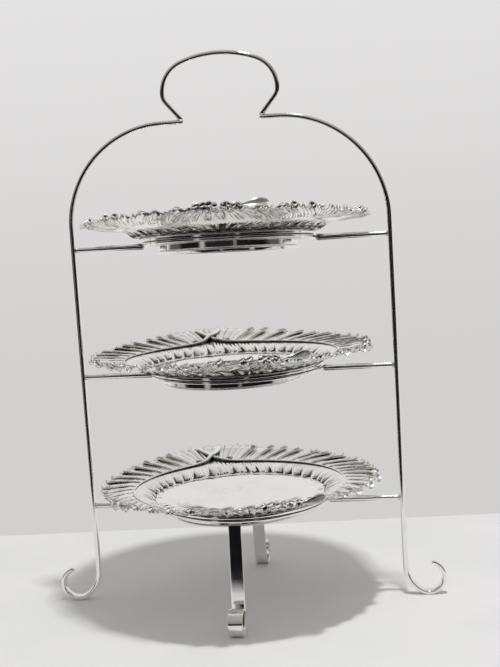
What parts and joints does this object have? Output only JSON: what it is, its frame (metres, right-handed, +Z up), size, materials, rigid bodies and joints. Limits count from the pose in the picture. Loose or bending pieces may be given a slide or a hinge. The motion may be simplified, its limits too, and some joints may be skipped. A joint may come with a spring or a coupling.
{
  "type": "tiered cake stand",
  "caption": "Tiered cake stand: bent-rod frame with a carrying loop and curled feet, and loose round plates with feather borders resting in hoops.",
  "frame": {"origin": "on the ground, under the middle of the stand", "axes": "+Z up, +X towards the right-hand side rail seen from the front, -Y towards the front leg"},
  "size_m": [0.3218, 0.2337, 0.443],
  "materials": {
    "frame_silver": "polished silver plate",
    "plate_silver": "mirror-polished silver plate with a pressed feather border"
  },
  "bodies": {
    "stand_frame": {"handle_loop": "frame_silver", "left_side_rail": "frame_silver", "right_side_rail": "frame_silver", "front_leg": "frame_silver", "back_leg": "frame_silver", "bottom_hoop": "frame_silver", "bottom_left_arm": "frame_silver", "bottom_right_arm": "frame_silver", "middle_hoop": "frame_silver", "middle_left_arm": "frame_silver", "middle_right_arm": "frame_silver", "top_hoop": "frame_silver", "top_left_arm": "frame_silver", "top_right_arm": "frame_silver"},
    "bottom_dish": {"bottom_plate": "plate_silver", "bottom_foot_ring": "plate_silver"},
    "middle_dish": {"middle_plate": "plate_silver", "middle_foot_ring": "plate_silver"},
    "top_dish": {"top_plate": "plate_silver", "top_foot_ring": "plate_silver"}
  },
  "joints": [
    {"name": "bottom_plate_lift", "type": "slide", "parent": "stand_frame", "child": "bottom_dish", "axis": [0, 0, 1], "range_m": [0, 0.06]},
    {"name": "middle_plate_lift", "type": "slide", "parent": "stand_frame", "child": "middle_dish", "axis": [0, 0, 1], "range_m": [0, 0.06]},
    {"name": "top_plate_lift", "type": "slide", "parent": "stand_frame", "child": "top_dish", "axis": [0, 0, 1], "range_m": [0, 0.025]}
  ]
}
